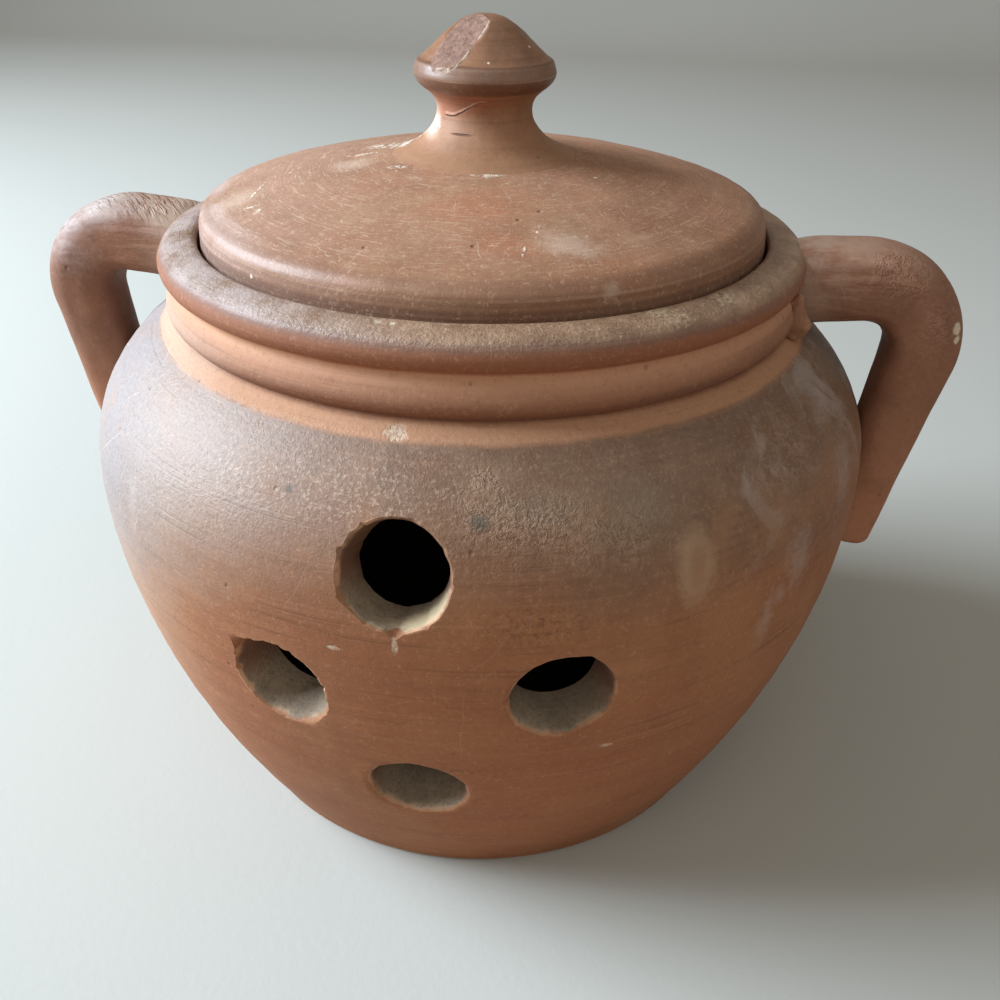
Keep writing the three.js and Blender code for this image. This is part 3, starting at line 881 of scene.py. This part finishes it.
    # Painted light: a bright sandy crescent low inside the top vent, where light falls into the bore
    painted_light_crescent = marks(place, [(5, -77.5, 79.8, 6, 3.4, 4.4)], 0.5, 0.5)
    bore_color = layered(tint(either(*settled), bore_color, dust_color), (painted_light_crescent, 0.8, (204, 182, 144)))
    lip = times(either(*lips), ease(cloud(place, 0.006), 0.42, 0.56, 0.1, 1.0))
    color = layered(tint(wall, color, bore_color), (lip, 0.9, (208, 164, 128)))

    # Inside: painted shade, the closed jar's inside given a dark clay colour; and the bare foot
    in_wall = 5.2
    halfway = ramp(rise(z, 0.0, NECK_HEIGHT * MM), [
        (share, (belly_radius(NECK_HEIGHT * share) - in_wall,) * 3 + (1.0,)) for share in spread(0, 1, 12)
    ])
    indoors = calc("LESS_THAN", reach, times(apart(halfway)[0], MM))
    indoors = times(indoors, calc("GREATER_THAN", z, 0.006), calc("LESS_THAN", z, 0.1052))
    throat = times(ease(reach, 0.0558, 0.0552), calc("GREATER_THAN", z, 0.1))
    inner = times(either(indoors, throat), calc("SUBTRACT", 1.0, wall))
    color = tint(inner, color, tint(ease(mottle, 0.35, 0.65), (58, 44, 34), (84, 62, 48)))
    color = layered(color, (ease(z, 0.0012, 0.0004), 0.8, (172, 128, 98)))

    roughness = add(0.8, times(film, -0.24), times(film, left_dust_and_sheen, -0.03), times(top, -0.32), swing(patchy, 0.2))
    height = weighed(
        (grain, 0.1), (fine, 0.07), (combed, -0.06), (broad, 0.1), (ridges, 0.13), (cracks, -0.05),
        (pits, -0.12), (grit, 0.06), (chips, -0.14), (patchy, 0.1), (film, sand, 0.16),
        (top, sand, 0.26), (top, patchy, 0.2), (rubbed, -0.02),
    )
    return fired(material, color, roughness, height)


def handle_material():
    """Pulled clay, darker than the jar, with dust lying on top near the rim"""
    material, place, facing = start_material("handle_clay")
    x, y, z = apart(place)
    out = calc("ABSOLUTE", x)
    mottle, grain, pits = use(CLAY, place, Pitting=0.06)
    mottled = cloud(place, 0.011, 5.0, 0.65)

    # Lengthwise marks of pulling on the arm, and skin wrinkled by a thumb
    drawn = cloud(together(times(x, 0.16), y, z), 0.0016, 3.0, 0.6)
    arm = times(ease(out, 0.086, 0.07), ease(z, 0.1, 0.106))
    wrinkled = marks(place, [(82, -7, 117, 6, 4, 4.5), (90, -6, 108, 3, 4, 5)], 0.5, 0.8)
    ridges = times(wrinkled, use(SKIN, place, Size=0.002)[0])
    slanted = vector("ADD", place, scaled(together(y, 0.0, y), 0.9))
    across = cloud(vector("MULTIPLY", slanted, (1.0, 0.14, 0.3)), 0.0013, 2.0, 0.5, 0.3)
    creased = marks(place, [(-69, 2, 120, 9, 9, 4), (-80, 0, 121, 5, 6, 3)], 0.5, 0.4)
    color = layered(
        tint(ease(mottle, 0.36, 0.64), (120, 79, 57), (142, 97, 71)),
        (ease(z, 0.094, 0.066), 0.65, (176, 122, 90)),
        (ease(mottled, 0.52, 0.7), 0.3, (100, 65, 48)),
        (times(arm, ease(drawn, 0.54, 0.66)), 0.4, (92, 60, 45)),
        (times(arm, ease(drawn, 0.46, 0.36)), 0.32, (170, 128, 102)),
        (times(creased, ease(across, 0.5, 0.4)), 0.55, (186, 168, 150)),
        (ridges, 0.25, (176, 134, 108)),
    )

    # Dust, pale dust and painted sheen on the left handle's bend, rubbed edges and chips
    dust = times(ease(apart(facing)[2], 0.25, 0.95), ease(z, 0.112, 0.119), ease(mottled, 0.34, 0.62))
    # Pale dust and painted sheen on the left handle's bend
    bend = marks(place, [(-88, -1, 115, 6, 8, 7), (-80, -2, 119, 6, 7, 3)], 0.9, 0.5)
    rubbed = use(SCRATCHES, place, Facing=facing, Spacing=0.008, Amount=0.4, Seed=0.9)
    color = layered(
        color,
        (dust, ease(x, 0.0, 0.06, 0.6, 0.3), (168, 148, 130)),
        (times(bend, ease(drawn, 0.36, 0.62, 0.4, 1.0)), 0.6, (190, 182, 180)),
        (times(ease(out, 0.074, 0.064), ease(mottled, 0.3, 0.55)), 0.5, (170, 146, 126)),
        (rubbed, 0.3, (196, 166, 142)),
    )
    color = grained(
        color, grain, pits, (0.25, (84, 54, 40)), (0.18, (182, 142, 116)), (0.4, (70, 46, 34)), low=0.35
    )
    chips = marks(place, [(92.9, -6.3, 106.6, 1.1, 1.4, 1.1), (93.1, -6.2, 104.4, 0.8, 1.2, 0.7)], 0.25, 0.8)
    color = layered(
        color,
        (use(SPECKS, place, Spacing=0.007, Amount=0.14, Size=0.08), 0.6, (200, 176, 150)),
        (chips, 0.85, (222, 208, 186)),
        (ease(z, 0.0588, 0.0572), 0.4, (156, 106, 78)),
    )

    roughness = add(0.66, swing(mottled, 0.3), times(dust, -0.08))
    height = weighed(
        (grain, 0.09), (arm, drawn, 0.3), (ridges, 0.16), (creased, ease(across, 0.46, 0.6), 0.18),
        (pits, -0.2), (chips, -0.15), (mottled, 0.16),
    )
    return fired(material, color, roughness, height)


def lid_material():
    """Light clay, rubbed all over into fine pale streaks that follow the turning"""
    material, place, facing = start_material("lid_clay")
    x, y, z = apart(place)
    reach = from_axis(x, y)
    mottle, grain, pits = use(CLAY, place, Pitting=0.07)
    fine = use(TURNING, place, Pitch=0.0011)
    mottled = cloud(place, 0.013, 5.0, 0.65)
    warm = marks(place, [(11.7, -41.9, 128.4, 6, 4, 3), (4, -30, 131, 9, 6, 3)], 0.9, 0.8)
    sheen = times(ease(x, -0.026, -0.046), ease(reach, 0.049, 0.052), ease(mottled, 0.3, 0.6))
    side = ease(add(z, swing(fine, 0.0008)), 0.1247, 0.1236)
    color = layered(
        tint(ease(mottle, 0.36, 0.64), (136, 95, 68), (158, 115, 87)),
        (ease(mottled, 0.5, 0.68), 0.45, (148, 97, 64)),
        (ease(mottled, 0.46, 0.3), 0.4, (162, 134, 102)),
        (warm, 0.3, (172, 106, 68)),
        (sheen, 0.55, (196, 182, 178)),
        # Painted light: the left half of the lid paler
        (times(ease(x, -0.004, -0.044), ease(mottled, 0.25, 0.6, 0.4, 1.0)), 0.3, (176, 146, 130)),
        # Side, with painted shade darkening it towards the seat where it sinks into the rim's mouth, and
        # faint turned bands
        (side, 0.35, (128, 92, 70)),
        (band(z, 0.1248, 0.1254, 0.0005), 0.3, (112, 78, 58)),
        (band(z, 0.1223, 0.1226, 0.0005), 0.25, (96, 66, 48)),
        (band(z, 0.123, 0.1232, 0.0003), ease(mottled, 0.35, 0.6, 0.0, 0.25), (196, 164, 136)),
        (ease(z, 0.122, 0.121), 0.6, (98, 68, 50)),
        (ease(fine, 0.54, 0.7), add(0.14, times(side, 0.25)), (106, 74, 56)),
    )

    # Pale streaks, scratches, dust and chalk
    worn = times(ease(reach, 0.0545, 0.05), ease(mottled, 0.25, 0.6, 0.3, 1.0))
    streaks = times(worn, either(
        ease(use(TURNING, place, Pitch=0.0004, Run=0.0021), 0.55, 0.72),
        times(ease(use(TURNING, place, Pitch=0.0006, Run=0.007), 0.57, 0.72), 0.8),
    ))
    scuffs = times(worn, either(*(
        use(SCRATCHES, place, Facing=facing, Spacing=spacing, Width=width, Amount=amount, Seed=seed)
        for spacing, width, amount, seed in (
            (0.0034, 0.00008, 0.35, 0.0), (0.007, 0.0001, 0.3, 0.43), (0.016, 0.00012, 0.3, 0.77),
        )
    )))
    color = layered(
        color, (streaks, ease(x, 0.03, -0.03, 0.2, 0.42), (208, 184, 156)), (scuffs, 0.5, (222, 202, 176))
    )
    color = grained(color, grain, pits, (0.24, (104, 70, 52)), (0.3, (212, 184, 158)), (0.4, (88, 58, 42)))
    grit = use(SPECKS, place, Spacing=0.0045, Amount=0.12, Size=0.09)
    pale = marks(place, [
        (20.7, -39.3, 128.2, 4.6, 3.2, 2.2), (28.7, -46.7, 123.6, 1.2, 1.2, 1.2),
        (-24.1, -10, 131.9, 3.4, 3, 2), (-42, -22, 127, 3, 4, 2),
    ], 0.8, 0.8)
    chalk = marks(place, [
        (2, -17, 133.6, 2, 1.2, 1), (5.4, -16.6, 133.5, 1.4, 2, 1), (3.6, -17.4, 133.5, 1.6, 1.2, 0.8),
        (3.8, -15.8, 133.8, 1.6, 0.9, 0.8), (-17, 2, 133.6, 2.6, 4, 1), (-22, 4, 133, 4, 3, 1),
        (-38, -26.9, 127.8, 2, 0.5, 0.8), (-39.6, -19, 128.4, 0.3, 4.5, 1),
        (-35.5, -29.4, 127.4, 0.7, 1.2, 0.8), (-24, -3, 132.4, 3.6, 0.9, 0.8),
        (-14, -14, 133.2, 2.4, 0.8, 0.8), (15.6, -37, 129.6, 0.25, 3, 1), (14.2, -43.5, 128, 0.3, 1.6, 0.8),
    ], 0.35, 0.9)
    chalk = times(chalk, ease(cloud(place, 0.001, 3.0, 0.7), 0.45, 0.56))
    color = layered(
        color, (grit, 0.7, (222, 204, 178)), (pale, 0.4, (204, 182, 160)), (chalk, 0.7, (228, 214, 194))
    )

    roughness = add(0.74, swing(mottled, 0.2), times(band(z, 0.1232, 0.1262, 0.001), -0.24))
    height = weighed(
        (grain, 0.1), (fine, 0.06), (side, fine, 0.1), (pits, -0.2), (streaks, 0.04),
        (scuffs, 0.03), (chalk, 0.1), (mottled, 0.14), (grit, 0.05),
    )
    return fired(material, color, roughness, height)


def knob_material():
    """Clay darkened and polished by hands, with a torn chip on one flank and a paler stem"""
    material, place, _ = start_material("knob_clay")
    x, y, z = apart(place)
    mottle, grain, pits = use(CLAY, place, Pitting=0.05)
    fine = use(TURNING, place, Pitch=0.0008)
    mottled = cloud(place, 0.008, 4.0, 0.6)
    edge = add(z, swing(fine, 0.0005))
    low = add(z, swing(mottled, 0.0016))
    stem = ease(low, 0.1459, 0.1452)
    flushed = times(ease(add(low, times(x, -0.2)), 0.1412, 0.143), ease(x, 0.009, 0.001))
    stem_color = layered(
        tint(ease(mottle, 0.38, 0.6), (138, 96, 68), (158, 114, 82)), (flushed, 0.6, (156, 98, 72))
    )
    cap_color = layered(
        tint(ease(mottled, 0.36, 0.62), (122, 84, 58), (140, 98, 69)),
        (band(edge, 0.1482, 0.15, 0.0003), 0.5, (120, 98, 84)),
        # Painted highlight: a pale line along the crease under the band
        (band(edge, 0.14785, 0.148, 0.00015), ease(mottled, 0.4, 0.6, 0.0, 0.4), (168, 138, 118)),
        # Painted shade: the cap's underside, which faces down
        (ease(edge, 0.1479, 0.1477), 0.75, (98, 62, 44)),
    )
    # Pale dust and painted sheen on the left flank of the stem
    stem_dust_and_sheen = times(ease(x, -0.0066, -0.0094), ease(z, 0.1445, 0.1395), ease(low, 0.1362, 0.1384))
    color = layered(
        tint(stem, cap_color, stem_color),
        (ease(low, 0.1372, 0.1345), 0.65, (150, 110, 78)),
        (band(edge, 0.1502, 0.15042, 0.0002), 0.6, (80, 54, 40)),
        (ease(fine, 0.54, 0.7), 0.2, (84, 58, 44)),
        (stem_dust_and_sheen, 0.7, (222, 198, 178)),
    )

    # Torn chip with a pale broken border, as a rounded rectangle in its own plane
    normal, foot = chip_plane()
    aside = Vector((cos(CHIP_TURN), sin(CHIP_TURN), 0))
    off = vector("SUBTRACT", place, foot * MM)
    along = add(vector("DOT_PRODUCT", off, normal.cross(aside)), 0.0041)
    across = vector("DOT_PRODUCT", off, aside)
    powers = (
        calc("POWER", calc("ABSOLUTE", times(way, 1 / half)), 3.0)
        for way, half in ((along, 0.0073), (across, 0.0036))
    )
    far = add(calc("POWER", add(*powers), 1 / 3), swing(cloud(place, 0.0016, 4.0, 0.7), 0.3))
    on_cap = ease(z, 0.1478, 0.1484)
    torn = times(ease(far, 1.02, 0.94), on_cap)
    tear = cloud(place, 0.0009, 5.0, 0.7)
    border = times(band(far, 0.95, 1.0, 0.07), ease(add(across, times(along, -0.3)), 0.0006, 0.0018))
    border = times(border, ease(cloud(place, 0.0024), 0.4, 0.55), on_cap)
    color = tint(torn, color, tint(ease(tear, 0.36, 0.66), (112, 80, 64), (146, 112, 94)))

    # Slits in the stem, chalk at its foot and specks
    over_fold = calc("SUBTRACT", edge, ease(x, -0.0052, 0.0018, 0.14135, 0.1442))
    front = times(band(x, -0.0054, 0.0016, 0.0012), calc("LESS_THAN", y, 0.0))
    fold = times(front, band(over_fold, 0.0001, 0.0003, 0.00025))
    undercut = times(front, band(over_fold, -0.0002, -0.0001, 0.0001), ease(x, 0.0, -0.003))
    slit = either(marks(place, [(-2.6, -9.9, 138.4, 1.9, 1.6, 0.13)], 0.6, 0.2), undercut)
    chalk = marks(place, [
        (-8.7, -4.8, 139.4, 1.4, 1.6, 1.5), (-12.4, 0.5, 137, 2, 2.4, 1.4), (-16, 1, 134.6, 2.4, 3, 1),
    ], 0.5, 1.2)
    chalk = times(chalk, ease(cloud(place, 0.0006, 3.0, 0.7), 0.4, 0.52))
    dots = marks(place, [(8.6, -3.2, 152.9, 0.3, 0.3, 0.3), (2.6, -11.2, 151.2, 0.24, 0.24, 0.24)], 0.3, 0.2)
    color = layered(
        color,
        (border, 0.75, (214, 190, 166)),
        (fold, 0.5, (202, 154, 124)),
        (slit, 0.7, (74, 46, 34)),
        (chalk, 0.85, (236, 226, 212)),
        (dots, 1.0, (226, 214, 196)),
    )
    color = grained(color, grain, pits, (0.2, (76, 52, 40)), (0.16, (190, 156, 132)), (0.5, (58, 38, 28)))

    roughness = add(0.44, times(stem, 0.22), times(torn, 0.26), swing(mottled, 0.2))
    height = weighed(
        (grain, 0.045), (fine, 0.05), (torn, tear, 0.24), (slit, -0.3), (fold, 0.3), (chalk, 0.12),
        (pits, -0.12), (border, 0.08),
    )
    return fired(material, color, roughness, height)


def wad_material():
    """The same clay as the jar, smooth where the thumb pressed it"""
    material, place, _ = start_material("wad_clay")
    _, grain, _ = use(CLAY, place, Pitting=0.08)
    patchy = cloud(place, 0.004, 4.0)
    color = layered(
        tint(ease(patchy, 0.4, 0.6), (142, 102, 74), (160, 120, 90)),
        (ease(grain, 0.5, 0.64), 0.3, (104, 74, 52)),
    )
    height = weighed((grain, 0.12), (patchy, 0.14))
    return fired(material, color, add(0.72, times(patchy, 0.1)), height)


handle_clay = handle_material()
finished(jar_shape(), "jar_body_clay", "jar", "jar_body", jar_material())
finished(strap_shape(1, 3.1), "right_strap_clay", "jar", "handle_right", handle_clay)
finished(strap_shape(-1, 8.6), "left_strap_clay", "jar", "handle_left", handle_clay)
finished(wad_shape(), "root_wad_clay", "jar", "handle_right_wad", wad_material())
finished(lid_shape(), "lid_disc_clay", "lid", "lid_disc", lid_material())
finished(knob_shape(), "lid_knob_clay", "lid", "lid_knob", knob_material(), sharp=50)


# Studio: a pale floor that turns up into a pale wall, a soft window light on the left and an even fill

def in_view(tree):
    """One for the rays that show the backdrop, straight, mirrored or through, and nothing for its light"""
    path = node("LightPath", {}, tree).outputs
    return either(path["Is Camera Ray"], path["Is Glossy Ray"], path["Is Transmission Ray"])


def backdrop_material():
    material, place, _ = start_material("pale_sweep")
    paint = tint(cloud(place, 0.4, 2.0), (180, 181, 173), (186, 186, 178))
    paint = tint(in_view(material.node_tree), (176, 153, 134), paint)
    plaster = cloud(place, 0.002, 2.0)
    return fired(material, paint, ease(plaster, 0.0, 1.0, 0.85, 0.95), times(plaster, 0.05), specular=0.2)


def build_studio():
    half_width = 8
    bend = [(1.1 + 0.5 * sin(angle), 0.5 - 0.5 * cos(angle)) for angle in spread(0, pi / 2, 16)]
    sweep = bmesh.new()
    section = [(-8.0, 0.0), *bend, (1.6, 2.6)]
    points = [sweep.verts.new((-half_width, y, z)) for y, z in section]
    edges = [sweep.edges.new(pair) for pair in zip(points, points[1:])]
    grown = bmesh.ops.extrude_edge_only(sweep, edges=edges)["geom"]
    moved = [item for item in grown if isinstance(item, bmesh.types.BMVert)]
    bmesh.ops.translate(sweep, verts=moved, vec=(2 * half_width, 0, 0))
    bmesh.ops.recalc_face_normals(sweep, faces=sweep.faces)
    floor = as_object(sweep, "pale_sweep")
    floor.data.shade_smooth()
    floor.data.materials.append(backdrop_material())

    for name, place, size, power, color in (
        ("window", (-0.92, -0.1, 0.6), 0.6, 30.0, (0.76, 0.87, 1.0)),
        ("skylight", (0.2, -0.75, 0.85), 0.8, 1.5, (1.0, 0.98, 0.94)),
    ):
        light = bpy.data.lights.new(name, "AREA")
        light.shape, light.size, light.energy, light.color = "SQUARE", size, power, color
        lamp = in_scene(name, light)
        lamp.location = place
        aim = Vector((0, 0, 0.08)) - Vector(place)
        lamp.rotation_euler = aim.to_track_quat("-Z", "Y").to_euler()

    world = bpy.data.worlds.new("even_fill")
    world.use_nodes = True
    world.node_tree.nodes.clear()
    strength = ease(in_view(world.node_tree), 0.0, 1.0, 0.36, 0.8)
    sky = node("Background", {"Color": (1.0, 0.96, 0.9, 1.0), "Strength": strength}).outputs[0]
    node("OutputWorld", {"Surface": sky})
    bpy.context.scene.world = world


def build_camera():
    """The photograph's place and angle, found from the edges of the pot"""
    lens = bpy.data.cameras.new("view")
    lens.lens, lens.sensor_width = 37.8, 36
    camera = in_scene("view", lens)
    right, up = Vector((0.98659, 0.16255, 0.01485)), Vector((-0.09570, 0.50232, 0.85937))
    turn = Matrix((right, up, right.cross(up))).transposed().to_4x4()
    camera.matrix_world = Matrix.Translation(Vector((36.43, -206.59, 179.56)) * MM) @ turn
    bpy.context.scene.camera = camera


build_studio()
build_camera()
bpy.context.scene.view_settings.view_transform = "Standard"
